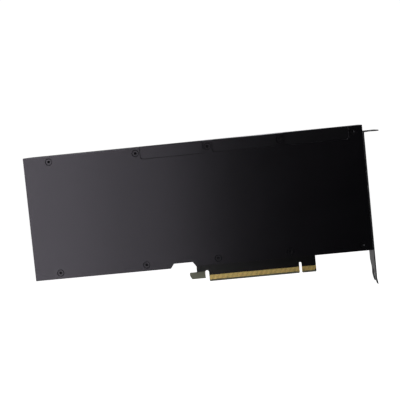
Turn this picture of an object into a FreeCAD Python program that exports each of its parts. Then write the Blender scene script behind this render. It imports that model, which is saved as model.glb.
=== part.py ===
"""Passive accelerator card: a full-height, two-slot add-in card for servers, cooled by the chassis fans.

Frame, in millimetres: the origin is at the centre of the key slot in the card edge, on the bottom edge of
the edge contacts and in the middle plane of the circuit board. +X runs along the card to its I/O bracket,
+Z runs up, away from the motherboard, and +Y points from the board to its component side, so the
backplate faces -Y and the ribbed cover faces +Y.

From rear to front the card is stacked as backplate, insulating film, circuit board with the processor and
its power stages, heat sink base, fin stack and covers. Chassis air enters at the far end (-X), runs through
the fins and leaves through the bracket's vents (+X).
"""
import FreeCAD, Part
import math
import os

V = FreeCAD.Vector

# --- overall sizes ---------------------------------------------------------------------------------------
card_height = 111.15          # bottom of the edge contacts to the top of the ribs
card_length = 267.7           # bracket's inner face to the air inlet end
board_thickness = 1.57
rear_height = 2.67            # board's rear face to the backplate's outer face
front_height = 34.79          # board's front face to the cover's outer face, two slots deep
body_bottom = 13.05           # bottom edge of the housing above the bottom of the contacts

# --- I/O bracket -----------------------------------------------------------------------------------------
bracket_outer_x = 58.65       # key slot's centre to the bracket's outer face
bracket_sheet = 0.86
bracket_width = 38.74         # across two slots
bracket_rear_inset = 0.25     # bracket's rear edge, in from the backplate's outer face
bracket_gap = 0.2             # housing to bracket
flange_length = 11.43
flange_drop = 5.13            # flange's top, below the ribs
flange_bend = 0.5             # inner bend radius
flange_corner = 1.2
slot_pitch = 20.32
tongue_width = 10.19
tongue_bottom = -14.0
tongue_shoulder = -3.6
tongue_taper = 3.4            # chamfer between the first tongue and the shoulder
tongue_taper_height = 4.9     # rise of the second tongue's long taper
tongue_rear_round = 1.2
tongue_front_round = 1.8
lean_height = 4.6             # stretch at the tips that leans out
lean_out = 0.8
screw_notch_radius = 2.21
screw_notch_x = 5.1           # notch's centre, out from the bracket's outer face
screw_notch_depth = 3.0       # first notch's centre, in from the flange's rear edge
vent_across_flats = 5.6
vent_wall = 1.35
vent_columns = 5
vent_bottom_inset = 12.45     # centre of the lowest vents to the housing's bottom edge
vent_screw_gap = 6.0          # centre of the highest vents to the upper screws, at least
bracket_screw_low_inset = 4.55    # lower screws' centres to the housing's bottom edge
bracket_screw_high_inset = 10.75  # upper screws' centres to the housing's top edge

# --- housing ---------------------------------------------------------------------------------------------
backplate_thickness = 1.2
backplate_top_inset = 0.2     # backplate's top edge, below the ribs
backplate_edge_chamfer = 0.25
cover_wall = 1.5
cover_chamfer = 1.8           # along the cover's two front edges
cover_fit = 0.15              # between the cover's walls and what lies inside them
ribbed_cover_length = 181.6
cover_seam = 0.2
lip_length = 4.0
lip_thickness = 0.8
rib_pitch = 2.1
rib_groove_width = 1.0
rib_groove_depth = 0.45
rib_end_margin = 2.0
rib_bottom_inset = 8.95       # grooves of the front face end above the housing's bottom edge

# --- latch recess in the lower edge, beside the retention hook -------------------------------------------
recess_hook_lap = 0.1         # recess's right end, past the side of the hook's neck
recess_height = 3.65
recess_right_run = 2.5
recess_left_run = 2.1
recess_width = 20.1

# --- retention hook --------------------------------------------------------------------------------------
hook_gap = 3.0                # slot between the hook and the long tongue
hook_neck_width = 6.5
hook_toe_length = 5.75
hook_top = 8.0
hook_bottom = 2.8
hook_chamfer_width = 1.55
hook_chamfer_height = 2.7
hook_round = 0.6
gap_slot_top = 8.9            # top of the slot between the hook and the long tongue

# --- card edge -------------------------------------------------------------------------------------------
contact_pitch = 1.0
contact_width = 0.7
contact_bottom = 1.4
contact_top = 5.0
contact_thickness = 0.05
contact_to_key = 1.5          # nearest contacts' centres to the key slot's centre
contacts_long = 71
contacts_short = 11
short_contact_cut = 1.0       # presence contacts are this much shorter
edge_side_margin = 0.7        # last contact's centre to the side of the tongue
key_width = 1.9
key_top = 8.6
edge_bevel_height = 1.3
edge_bevel_depth = 0.45
edge_corner = 0.5
board_gap = 0.3               # board's edge to the housing's wall

# --- fasteners -------------------------------------------------------------------------------------------
screw_right_inset = 7.4       # last screws' centres to the housing's bracket end
screw_seam_inset = 3.5        # ribbed cover's first screws' centres to its inlet end
screw_left_inset = 20.4       # first screws' centres to the inlet end
screw_edge_inset = 4.8        # screws' centres to the housing's top edge, and to its bottom edge or recess
screw_head_radius = 2.3
screw_head_height = 0.85
screw_socket = 2.0            # across flats
screw_socket_depth = 0.6
screw_shank_radius = 1.2
screw_length = 7.4
screw_tip_gap = 0.6           # tapped hole beyond the screw's tip
screw_sink_radius = 2.8       # counterbore in the backplate
screw_sink_depth = 1.05
screw_boss_width = 6.2        # across flats, inside the backplate
thread_clearance = 0.05
board_hole_clearance = 0.25
post_width = 5.0
post_height = 7.4

# --- bridge connectors on the top edge -------------------------------------------------------------------
cap_side_margin = 3.95        # screw centre to the cap's side
cap_drop = 9.65               # lower edge of the cap's rear leg, below the ribs
cap_fit = 0.25                # gap round a cap
cap_corner = 2.0
cap_front = 4.6               # front face of the cap's front leg
cap_front_leg = 1.2
cap_front_drop = 7.75
cap_crown = 1.35
cap_rib_margin = 0.6
cap_to_contacts = 0.15
bridge_notch_width = 1.4
bridge_notch_depth = 4.8
bridge_notch_margin = 1.0
bridge_contacts = 6           # on each face of one connector
bridge_contact_pitch = 6.4
bridge_contact_width = 3.6
bridge_contact_height = 4.2
bridge_contact_inset = 0.3

# --- heat sink -------------------------------------------------------------------------------------------
base_clearance = 5.2          # board's front face to the base's underside
base_thickness = 3.0
base_post_gap = 0.85          # base's edges to the screw posts
sink_right_inset = 9.6        # fins' outlet end to the housing's bracket end
sink_left_inset = 32.0        # fins' inlet end to the housing's inlet end
fin_pitch = 1.8
fin_thickness = 0.4
fin_bottom_gap = 1.0          # bottom fin to the latch recess's wall, at least
fin_front_gap = 1.5
fin_top_inset = 2.6           # top fin to the housing's top edge
sink_pad_margin = 1.0         # raised pad beyond the dies
sink_post_width = 5.4         # across flats
sink_thread_depth = 3.6

# --- processor package -----------------------------------------------------------------------------------
package_size = 55.0
package_thickness = 1.5
package_height_above_board = 0.3
package_x = -35.3
solder_margin = 1.5
stiffener_margin = 0.6
stiffener_width = 4.0
stiffener_thickness = 0.7
die_width = 26.0
die_height = 33.0
die_thickness = 0.8
memory_width = 8.0
memory_height = 10.0
memory_gap = 0.8
memory_rows = 3
interface_gap = 0.05
retention_reach = 33.0        # package centre to each heat sink post, along X and along Z
retention_half_width = 27.0
retention_band = 6.0
retention_ear = 7.0
retention_thickness = 0.5
sink_screw_head_radius = 2.4
sink_screw_head = 0.6
sink_screw_socket_depth = 0.4

# --- power stages ----------------------------------------------------------------------------------------
choke_size = 7.6
choke_height = 4.0
choke_chamfer = 0.9
choke_pitch = 9.4
choke_to_package = 46.0       # package centre to each column of chokes
stage_width = 5.0
stage_length = 6.0
stage_thickness = 0.9
stage_offset = 8.6            # choke's centre to its power stage's centre
capacitor_width = 4.3
capacitor_length = 7.3
capacitor_height = 3.1
capacitor_offset = 17.0       # choke's centre to the capacitor's centre
chip_inset = 12.0             # small chips' centres to the fins' inlet end
chip_sizes = [(-26.0, 8.0, 6.0, 1.4), (-10.0, 5.0, 3.2, 1.0), (8.0, 10.0, 10.0, 1.1)]  # rise, X, Z, Y

# --- power inlet and inlet frame -------------------------------------------------------------------------
header_depth = 13.4
header_height = 9.6
header_circuits = 4
header_pitch = 4.2
header_cavity = 3.5
header_cavity_depth = 10.6
header_cavity_chamfer = 0.9
header_side_wall = 0.4
header_drop = 18.75           # header's middle, below the ribs
header_inset = 1.0            # mouth to the end of the housing
header_pin = 1.1
header_pin_setback = 2.4      # pin's tip, in from the mouth
header_foot_gap = 1.2         # back of the housing to the first row of feet
header_foot_pitch = 2.6
header_latch_width = 4.4
header_latch_start = 1.5
header_latch_slope = 3.0
header_latch_land = 1.0
header_latch_height = 1.1
frame_thickness = 4.0
frame_inset = 0.6
frame_bar = 3.0
frame_sill = 11.4             # top of the bar beside the board, measured from the board's front face
frame_boss = 7.2
frame_hole_radius = 1.25
frame_hole_inset = 3.6
frame_header_gap = 0.3

# --- small pieces ----------------------------------------------------------------------------------------
film_thickness = 0.15
film_margin = 0.5             # film's edge to the screw bosses and the windows
film_end_inset = 3.1
bracket_screw_head = 2.1
bracket_screw_sink = 0.6
bracket_screw_length = 5.0
bracket_hole_clearance = 0.1
sink_cone_clearance = 0.02
ear_length = 6.4
ear_width = 5.2
ear_beyond_screw = 3.0
ear_end_wall = 0.8

overshoot = 1.0               # how far a cutter runs past the face it cuts
root = 0.1                    # how deep a joined feature starts inside the wall that carries it

# --- places worked out from the sizes above --------------------------------------------------------------
y_board_front = board_thickness / 2
y_board_rear = -board_thickness / 2
y_plate_outer = y_board_rear - rear_height
y_plate_inner = y_plate_outer + backplate_thickness
y_cover_front = y_board_front + front_height
y_cover_inner = y_cover_front - cover_wall

x_bracket_inner = bracket_outer_x - bracket_sheet
x_body_right = x_bracket_inner - bracket_gap
x_body_left = x_bracket_inner - card_length
x_seam = x_body_right - ribbed_cover_length

z_inner_top = card_height - cover_wall
z_inner_bottom = body_bottom + cover_wall
z_plate_top = card_height - backplate_top_inset

x_board_left = x_body_left + header_inset
x_board_right = x_body_right - board_gap
z_board_bottom = z_inner_bottom + board_gap
z_board_top = z_inner_top - board_gap

tongue_right = contact_to_key + (contacts_short - 1) * contact_pitch + edge_side_margin
tongue_left = -(contact_to_key + (contacts_long - 1) * contact_pitch + edge_side_margin)
hook_right = tongue_left - hook_gap
hook_neck_left = hook_right - hook_neck_width
recess_right = hook_neck_left + recess_hook_lap
recess_top = body_bottom + recess_height
recess_left = recess_right - recess_width
recess_wall_run = cover_wall * 0.6    # recess wall's outward step at its slanted sides
x_board_step = recess_right - recess_right_run + root

screw_x_right = x_body_right - screw_right_inset
screw_pitch = (ribbed_cover_length - screw_right_inset - screw_seam_inset) / 3
ribbed_screw_x = [screw_x_right - k * screw_pitch for k in (3, 2, 1, 0)]
inlet_screw_x = x_body_left + screw_left_inset
recess_keep_off = screw_boss_width / 2 + cover_wall


def low_screw_z(x):
    """Lower screws sit beside the housing's bottom edge, or above the latch recess where they meet it."""
    over_recess = recess_left - recess_keep_off < x < recess_right + recess_keep_off
    return (recess_top if over_recess else body_bottom) + screw_edge_inset


high_screw_z = card_height - screw_edge_inset
ribbed_posts = [(x, z) for x in ribbed_screw_x for z in (low_screw_z(x), high_screw_z)]
inlet_posts = [(inlet_screw_x, z) for z in (low_screw_z(inlet_screw_x), high_screw_z)]
screw_seats = inlet_posts + ribbed_posts
highest_low_screw = max(low_screw_z(x) for x in [inlet_screw_x] + ribbed_screw_x)
y_screw_seat = y_plate_outer + screw_sink_depth
thread_radius = screw_shank_radius + thread_clearance

cap_bottom = card_height - cap_drop
cap_front_bottom = card_height - cap_front_drop
cap_spans = [(a + cap_side_margin, b - cap_side_margin) for a, b in zip(ribbed_screw_x, ribbed_screw_x[1:])]

y_base = y_board_front + base_clearance
y_fins = y_base + base_thickness
y_fins_front = y_cover_inner - fin_front_gap
x_sink_left = x_body_left + sink_left_inset
x_sink_right = x_body_right - sink_right_inset
z_fins_top = card_height - fin_top_inset
fin_room = z_fins_top - fin_thickness - (recess_top + cover_wall + fin_bottom_gap)
fin_count = int(fin_room / fin_pitch)
z_fins_bottom = z_fins_top - fin_count * fin_pitch - fin_thickness
base_bottom = highest_low_screw + post_width / 2 + base_post_gap
base_top = high_screw_z - post_width / 2 - base_post_gap

package_z = (base_bottom + base_top) / 2
y_package = y_board_front + package_height_above_board
y_die = y_package + package_thickness
y_die_top = y_die + die_thickness
y_sink_screw = y_board_rear - retention_thickness
sink_posts = [(package_x + i * retention_reach, package_z + j * retention_reach)
              for i in (-1, 1) for j in (-1, 1)]

choke_count = int((base_top - base_bottom - choke_size) / choke_pitch) + 1
choke_first_z = package_z - (choke_count - 1) / 2 * choke_pitch
chokes = [(side, package_x + side * choke_to_package, choke_first_z + k * choke_pitch)
          for side in (-1, 1) for k in range(choke_count)]

flange_top = card_height - flange_drop
bracket_rear = y_plate_outer + bracket_rear_inset
bracket_front = bracket_rear + bracket_width
bracket_screw_low = body_bottom + bracket_screw_low_inset
bracket_screw_high = card_height - bracket_screw_high_inset
ear_spans = [(y_board_front + board_gap, y_board_front + board_gap + ear_width),
             (y_cover_inner - ear_width, y_cover_inner)]
bracket_screws = [((a + b) / 2, z) for a, b in ear_spans for z in (bracket_screw_low, bracket_screw_high)]
vent_pitch = vent_across_flats + vent_wall
vent_row_pitch = vent_pitch * math.sqrt(3) / 2
vent_bottom = body_bottom + vent_bottom_inset
vent_rows = int((bracket_screw_high - vent_screw_gap - vent_bottom) / vent_row_pitch) + 1

header_center_z = card_height - header_drop
header_width = (header_circuits - 1) * header_pitch + header_cavity + 2 * header_side_wall
header_z0 = header_center_z - header_width / 2
header_z1 = header_center_z + header_width / 2
x_header = x_body_left + header_inset
y_header_top = y_board_front + header_height
header_cavities = [(y_board_front + header_height / 2 + (row - 0.5) * header_pitch,
                    header_center_z + (column - (header_circuits - 1) / 2) * header_pitch)
                   for row in range(2) for column in range(header_circuits)]

x_frame = x_body_left + frame_inset
frame_front = y_cover_inner - cover_fit
frame_low = z_inner_bottom + cover_fit
frame_high = z_inner_top - cover_fit
frame_holes = [(y, z) for y in (y_board_front + frame_hole_inset, frame_front - frame_hole_inset)
               for z in (frame_low + frame_hole_inset, frame_high - frame_hole_inset)]


# --- building blocks -------------------------------------------------------------------------------------
def box(x0, x1, y0, y1, z0, z1):
    return Part.makeBox(x1 - x0, y1 - y0, z1 - z0, V(x0, y0, z0))


def pin_y(x, z, radius, y0, y1):
    """A round bar along Y."""
    return Part.makeCylinder(radius, y1 - y0, V(x, y0, z), V(0, 1, 0))


def pin_x(y, z, radius, x0, x1):
    """A round bar along X."""
    return Part.makeCylinder(radius, x1 - x0, V(x0, y, z), V(1, 0, 0))


def closed_wire(corners, place):
    """A closed wire through corners (u, v) or (u, v, radius); place maps a flat point to its place in 3-D."""
    edges = []
    stops = []
    n = len(corners)
    for i, (u, v, *rounding) in enumerate(corners):
        corner = V(u, v, 0)
        radius = rounding[0] if rounding else 0
        if not radius:
            stops.append((corner, None, corner))
            continue
        back = V(*corners[i - 1][:2], 0) - corner
        ahead = V(*corners[(i + 1) % n][:2], 0) - corner
        back.normalize()
        ahead.normalize()
        half = back.getAngle(ahead) / 2
        reach = radius / math.tan(half)
        middle = back + ahead
        middle.normalize()
        centre = corner + middle * (radius / math.sin(half))
        stops.append((corner + back * reach, centre - middle * radius, corner + ahead * reach))
    for i, (start, middle, end) in enumerate(stops):
        if middle is not None:
            edges.append(Part.Arc(place(start), place(middle), place(end)).toShape())
        following = stops[(i + 1) % n][0]
        if (following - end).Length > 1e-6:
            edges.append(Part.LineSegment(place(end), place(following)).toShape())
    return Part.Wire(edges)


def bar_y(corners, y0, y1):
    """A prism along Y with an outline in X and Z."""
    wire = closed_wire(corners, lambda p: V(p.x, y0, p.y))
    return Part.Face(wire).extrude(V(0, y1 - y0, 0))


def bar_x(corners, x0, x1):
    """A prism along X with a section in Y and Z."""
    wire = closed_wire(corners, lambda p: V(x0, p.x, p.y))
    return Part.Face(wire).extrude(V(x1 - x0, 0, 0))


def bar_z(corners, z0, z1):
    """A prism along Z with a plan in X and Y."""
    wire = closed_wire(corners, lambda p: V(p.x, p.y, z0))
    return Part.Face(wire).extrude(V(0, 0, z1 - z0))


def hexagon(u, v, across, turn=30):
    """Corners of a hexagon of that width across flats, the first one turned from the u axis."""
    radius = across / math.sqrt(3)
    angles = [math.radians(60 * k + turn) for k in range(6)]
    return [(u + radius * math.cos(a), v + radius * math.sin(a)) for a in angles]


def housing_section(inset, rear):
    """The housing's section in Y and Z at an inset from its outer skin, open to the rear: walls of even
    thickness have a chamfer that shrinks with the inset."""
    chamfer = cover_chamfer - inset * (2 - math.sqrt(2))
    front = y_cover_front - inset
    low = body_bottom + inset
    high = card_height - inset
    return [(rear, low), (front - chamfer, low), (front, low + chamfer), (front, high - chamfer),
            (front - chamfer, high), (rear, high)]


def recess_outline(wall, side_step):
    """The latch recess in X and Z, grown upwards by a wall and sideways by a step."""
    low = body_bottom - overshoot - wall
    return [(recess_left - side_step, low), (recess_left - side_step, body_bottom),
            (recess_left + recess_left_run - side_step, recess_top + wall),
            (recess_right - recess_right_run + side_step, recess_top + wall),
            (recess_right + side_step, body_bottom), (recess_right + side_step, low)]


def save(name, *solids):
    shape = solids[0] if len(solids) == 1 else Part.makeCompound(list(solids))
    shape.exportStep(f"parts/{name}.step")


# --- circuit board ---------------------------------------------------------------------------------------
def circuit_board():
    """One laminate: body, long and short edge tongues with their key slot, and the retention hook."""
    gap_round = (tongue_left - hook_right) / 2 * 0.99
    key_round = key_width / 2 * 0.99
    key = key_width / 2
    hook_left = hook_neck_left - hook_toe_length
    step_z = recess_top + cover_wall + board_gap
    corners = [
        (x_board_left, z_board_bottom),
        (recess_left - cover_wall, z_board_bottom),
        (recess_left + recess_left_run - cover_wall, step_z),
        (x_board_step, step_z),
        (x_board_step, recess_top + root),
        (hook_neck_left, body_bottom + board_gap),
        (hook_neck_left, hook_top, hook_round),
        (hook_left, hook_top, hook_round),
        (hook_left, hook_bottom + hook_chamfer_height),
        (hook_left + hook_chamfer_width, hook_bottom),
        (hook_right, hook_bottom),
        (hook_right, gap_slot_top, gap_round),
        (tongue_left, gap_slot_top, gap_round),
        (tongue_left, edge_corner),
        (tongue_left + edge_corner, 0),
        (-key - edge_corner, 0),
        (-key, edge_corner),
        (-key, key_top, key_round),
        (key, key_top, key_round),
        (key, edge_corner),
        (key + edge_corner, 0),
        (tongue_right - edge_corner, 0),
        (tongue_right, edge_corner),
        (tongue_right, z_board_bottom),
        (x_board_right, z_board_bottom),
        (x_board_right, z_board_top),
        (x_board_left, z_board_top),
    ]
    board = bar_y(corners, y_board_rear, y_board_front)
    cuts = []
    for side in (-1, 1):
        face = side * board_thickness / 2
        bevel = [(face, edge_bevel_height), (face - side * edge_bevel_depth, 0),
                 (face - side * edge_bevel_depth, -overshoot), (face + side, -overshoot),
                 (face + side, edge_bevel_height)]
        cuts.append(bar_x(bevel, tongue_left - overshoot, tongue_right + overshoot))
    y0 = y_board_rear - overshoot
    y1 = y_board_front + overshoot
    for x, z in screw_seats + sink_posts:
        cuts.append(pin_y(x, z, screw_shank_radius + board_hole_clearance, y0, y1))
    for a, b in cap_spans:
        inset = cap_fit + bridge_notch_margin
        for x in (a + inset, b - inset - bridge_notch_width):
            cuts.append(box(x, x + bridge_notch_width, y0, y1, z_board_top - bridge_notch_depth,
                            z_board_top + overshoot))
    return board.cut(cuts)


def edge_contacts(rear):
    """Plated pads on one face of the card edge; the presence contacts are shorter at their free end."""
    long_side = [-(contact_to_key + k * contact_pitch) for k in range(contacts_long)]
    short_side = [contact_to_key + k * contact_pitch for k in range(contacts_short)]
    presence = [short_side[-1]] if rear else [long_side[k] for k in (5, 19, 36, contacts_long - 2)]
    y0 = y_board_rear - contact_thickness if rear else y_board_front
    pads = []
    for x in long_side + short_side:
        low = contact_bottom + (short_contact_cut if x in presence else 0)
        pads.append(box(x - contact_width / 2, x + contact_width / 2, y0, y0 + contact_thickness, low,
                        contact_top))
    return pads


def bridge_pads():
    """Plated pads of the bridge connectors, on both faces of the board's top edge."""
    top = z_board_top - bridge_contact_inset
    pads = []
    for a, b in cap_spans:
        for k in range(bridge_contacts):
            x = (a + b) / 2 + (k - (bridge_contacts - 1) / 2) * bridge_contact_pitch
            for y0 in (y_board_rear - contact_thickness, y_board_front):
                pads.append(box(x - bridge_contact_width / 2, x + bridge_contact_width / 2, y0,
                                y0 + contact_thickness, top - bridge_contact_height, top))
    return pads


# --- housing ---------------------------------------------------------------------------------------------
def backplate():
    """Plate with a latch recess, three windows for the bridge caps, and counterbored screw seats that stand
    on bosses against the board."""
    corners = [
        (x_body_left, body_bottom),
        (recess_left, body_bottom),
        (recess_left + recess_left_run, recess_top),
        (recess_right - recess_right_run, recess_top),
        (recess_right, body_bottom),
        (x_body_right, body_bottom),
        (x_body_right, z_plate_top),
    ]
    for a, b in reversed(cap_spans):
        corners += [(b + cap_fit, z_plate_top), (b + cap_fit, cap_bottom - cap_fit, cap_corner),
                    (a - cap_fit, cap_bottom - cap_fit, cap_corner), (a - cap_fit, z_plate_top)]
    corners.append((x_body_left, z_plate_top))
    plate = bar_y(corners, y_plate_outer, y_plate_inner)
    rim = [e for e in plate.Edges if e.BoundBox.YMax < y_plate_outer + 1e-6]
    plate = plate.makeChamfer(backplate_edge_chamfer, rim)
    bosses = [bar_y(hexagon(x, z, screw_boss_width, 0), y_plate_inner - root, y_board_rear)
              for x, z in screw_seats]
    plate = plate.fuse(bosses)
    cuts = []
    for x, z in screw_seats:
        cuts.append(pin_y(x, z, thread_radius, y_plate_outer, y_board_rear + overshoot))
        cuts.append(pin_y(x, z, screw_sink_radius, y_plate_outer - overshoot, y_screw_seat))
    return plate.cut(cuts).removeSplitter()


def insulating_film():
    """Film on the backplate's inner face, between the two rows of screw bosses."""
    boss_reach = screw_boss_width / 2 + film_margin
    low = max(highest_low_screw + boss_reach, recess_top + cover_wall + film_margin)
    high = min(high_screw_z - boss_reach, cap_bottom - cap_fit - film_margin)
    return box(x_body_left + film_end_inset, x_body_right - film_end_inset, y_plate_inner,
               y_plate_inner + film_thickness, low, high)


def bridge_cap(x0, x1):
    """Saddle-shaped cap over one bridge connector; its crown carries on the cover's ribs."""
    crown_z = card_height - cap_crown
    leg = bar_y([(x0, cap_bottom, cap_corner), (x1, cap_bottom, cap_corner), (x1, z_plate_top),
                 (x0, z_plate_top)], y_plate_outer, y_board_rear - contact_thickness - cap_to_contacts)
    crown = box(x0, x1, y_plate_outer, cap_front, crown_z, card_height)
    front_leg = box(x0, x1, cap_front - cap_front_leg, cap_front, cap_front_bottom, crown_z + root)
    grooves = [box(g, g + rib_groove_width, y_plate_outer - overshoot, cap_front + overshoot,
                   card_height - rib_groove_depth, card_height + overshoot)
               for g in groove_places()
               if g > x0 + cap_rib_margin and g + rib_groove_width < x1 - cap_rib_margin]
    return leg.fuse([crown, front_leg]).cut(grooves).removeSplitter()


def cover_shell(x0, x1):
    """U-shaped channel, open at both ends and towards the backplate."""
    outer = bar_x(housing_section(0, y_plate_inner), x0, x1)
    inner = bar_x(housing_section(cover_wall, y_plate_inner - overshoot), x0 - overshoot, x1 + overshoot)
    return outer.cut(inner)


def screw_post(x, z):
    """Post for a backplate screw, grown from the nearer wall."""
    half = post_width / 2
    ends = (z - half, z_inner_top + root) if z > package_z else (z_inner_bottom - root, z + half)
    return box(x - half, x + half, y_board_front, y_board_front + post_height, *ends)


def tapped_holes(places):
    """Blind holes for the backplate screws."""
    depth = y_screw_seat + screw_length + screw_tip_gap
    return [pin_y(x, z, thread_radius, y_board_front - overshoot, depth) for x, z in places]


def groove_places():
    """Left sides of the grooves between the ribs."""
    first = x_seam + rib_end_margin
    count = int((ribbed_cover_length - 2 * rib_end_margin - rib_groove_width) // rib_pitch) + 1
    return [first + k * rib_pitch for k in range(count)]


def groove(x):
    """Cutter for one groove, over the top and down the front face."""
    skin = housing_section(rib_groove_depth, y_plate_inner - overshoot)
    far_front = y_cover_front + overshoot
    far_top = card_height + overshoot
    rib_bottom = body_bottom + rib_bottom_inset
    section = skin[:2:-1] + [(skin[3][0], rib_bottom), (far_front, rib_bottom), (far_front, far_top),
                             (skin[-1][0], far_top)]
    return bar_x(section, x, x + rib_groove_width)


def bracket_ears():
    """Four ears at the bracket end; they reach the bracket's inner face and take its screws."""
    low_end = bracket_screw_low + ear_beyond_screw
    high_end = bracket_screw_high - ear_beyond_screw
    return [box(x_body_right - ear_length, x_bracket_inner, a, b, z0, z1) for a, b in ear_spans
            for z0, z1 in ((z_inner_bottom - root, low_end), (high_end, z_inner_top + root))]


def ribbed_cover():
    """Cover over the fins: fine ribs run over its top and down its front, and ears take the bracket."""
    far_rear = y_plate_inner - overshoot
    recess_wall = bar_y(recess_outline(cover_wall, recess_wall_run), y_plate_inner, y_cover_front)
    room = box(x_seam, x_body_right, y_plate_inner, y_cover_inner + root, body_bottom, z_inner_top)
    posts = [screw_post(x, z) for x, z in ribbed_posts]
    cover = cover_shell(x_seam, x_body_right).fuse([recess_wall.common(room)] + posts + bracket_ears())
    cuts = [bar_y(recess_outline(0, 0), far_rear, y_cover_front + overshoot)]
    cuts.append(box(x_board_step - board_gap, tongue_right + board_gap, far_rear,
                    y_board_front + 2 * board_gap, body_bottom - overshoot,
                    recess_top + cover_wall + 2 * board_gap))
    for a, b in cap_spans:
        cuts.append(box(a - cap_fit, b + cap_fit, far_rear, cap_front + cap_fit, z_inner_top - overshoot,
                        card_height + overshoot))
    cuts += tapped_holes(ribbed_posts)
    for y, z in bracket_screws:
        cuts.append(pin_x(y, z, thread_radius, x_body_right - ear_length + ear_end_wall,
                          x_bracket_inner + overshoot))
    return cover.cut(cuts).cut([groove(x) for x in groove_places()]).removeSplitter()


def inlet_cover():
    """Plain cover round the air inlet, with a lip that slips inside the ribbed cover."""
    right = x_seam - cover_seam
    rear = y_board_front + post_height
    lip_inner = housing_section(cover_wall + cover_fit + lip_thickness, rear - overshoot)
    hollow = bar_x(lip_inner, right - lip_length - overshoot, right + lip_length + overshoot)
    collar = bar_x(housing_section(cover_wall / 2, rear), right - lip_length, right).cut(hollow)
    lip = bar_x(housing_section(cover_wall + cover_fit, rear), right - root, right + lip_length).cut(hollow)
    posts = [screw_post(x, z) for x, z in inlet_posts]
    recess = bar_y(recess_outline(cover_wall + cover_fit, recess_wall_run), rear - overshoot, y_cover_front)
    lip = lip.cut(recess)
    cover = cover_shell(x_body_left, right).fuse([collar, lip] + posts)
    return cover.cut(tapped_holes(inlet_posts)).removeSplitter()


def inlet_frame():
    """Frame inside the inlet end: air opening, a sill notched for the power inlet and four tapped corners."""
    x1 = x_frame + frame_thickness
    far = x_frame - overshoot
    section = housing_section(cover_wall + cover_fit, y_board_front)
    frame = bar_x(section, x_frame, x1)
    air = box(far, x1 + overshoot, y_board_front + frame_sill, frame_front - frame_bar,
              frame_low + frame_bar, frame_high - frame_bar)
    half = frame_boss / 2
    bosses = [box(far, x1 + overshoot, y - half, y + half, z - half, z + half) for y, z in frame_holes]
    socket = box(far, x1 + overshoot, y_board_front - overshoot,
                 y_header_top + header_latch_height + frame_header_gap,
                 header_z0 - frame_header_gap, header_z1 + frame_header_gap)
    holes = [pin_x(y, z, frame_hole_radius, far, x1 + overshoot) for y, z in frame_holes]
    return frame.cut([air.cut(bosses), socket] + holes)


# --- heat sink -------------------------------------------------------------------------------------------
def heat_sink_base():
    """Vapour chamber plate with a raised pad over the dies and four tapped posts."""
    base = box(x_sink_left, x_sink_right, y_base, y_fins, base_bottom, base_top)
    pad_x = die_width / 2 + memory_width + memory_gap + sink_pad_margin
    pad_z = die_height / 2 + sink_pad_margin
    pad = box(package_x - pad_x, package_x + pad_x, y_die_top + interface_gap, y_base + root,
              package_z - pad_z, package_z + pad_z)
    posts = [bar_y(hexagon(x, z, sink_post_width), y_board_front, y_base + root) for x, z in sink_posts]
    holes = [pin_y(x, z, thread_radius, y_board_front - overshoot, y_board_front + sink_thread_depth)
             for x, z in sink_posts]
    return base.fuse([pad] + posts).cut(holes).removeSplitter()


def fin_stack():
    """Soldered fin stack: folded fins along X whose flanges close each channel at the base and the front."""
    block = box(x_sink_left, x_sink_right, y_fins, y_fins_front, z_fins_bottom, z_fins_top)
    channels = []
    for k in range(fin_count):
        z0 = z_fins_bottom + fin_thickness + k * fin_pitch
        channels.append(box(x_sink_left - overshoot, x_sink_right + overshoot, y_fins + fin_thickness,
                            y_fins_front - fin_thickness, z0, z0 + fin_pitch - fin_thickness))
    return block.cut(channels)


def retention_plate():
    """Spring plate behind the processor: a square ring with an arm to a square ear at each corner."""
    def square(half):
        return box(package_x - half, package_x + half, y_sink_screw, y_board_rear,
                   package_z - half, package_z + half)

    half_ear = retention_ear / 2
    half_arm = retention_band / 2
    inner = retention_half_width - retention_band
    ears = []
    for x, z in sink_posts:
        ears.append(box(x - half_ear, x + half_ear, y_sink_screw, y_board_rear, z - half_ear, z + half_ear))
        sx = math.copysign(1, x - package_x)
        sz = math.copysign(1, z - package_z)
        cx = package_x + sx * (inner + half_arm)
        cz = package_z + sz * (inner + half_arm)
        across = half_arm / math.sqrt(2)
        arm = [(cx - sx * across, cz + sz * across), (x - sx * across, z + sz * across),
               (x + sx * across, z - sz * across), (cx + sx * across, cz - sz * across)]
        ears.append(bar_y(arm, y_sink_screw, y_board_rear))
    holes = [pin_y(x, z, thread_radius, y_sink_screw - overshoot, y_board_rear + overshoot)
             for x, z in sink_posts]
    ring = square(retention_half_width).cut(square(inner))
    return ring.fuse(ears).cut(holes).removeSplitter()


# --- fasteners -------------------------------------------------------------------------------------------
def cap_screw(x, z, seat, head_radius, head_height, socket_depth, tip):
    """Low-head screw along Y with a six-sided socket; its head stands on the seat and points to -Y."""
    head = pin_y(x, z, head_radius, seat - head_height, seat)
    shank = pin_y(x, z, screw_shank_radius, seat - root, tip)
    socket = bar_y(hexagon(x, z, screw_socket), seat - head_height - overshoot,
                   seat - head_height + socket_depth)
    return head.fuse(shank).cut(socket)


def backplate_screw(x, z):
    return cap_screw(x, z, y_screw_seat, screw_head_radius, screw_head_height, screw_socket_depth,
                     y_screw_seat + screw_length)


def heat_sink_screw(x, z):
    return cap_screw(x, z, y_sink_screw, sink_screw_head_radius, sink_screw_head, sink_screw_socket_depth,
                     y_board_front + sink_thread_depth - 2 * root)


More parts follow.
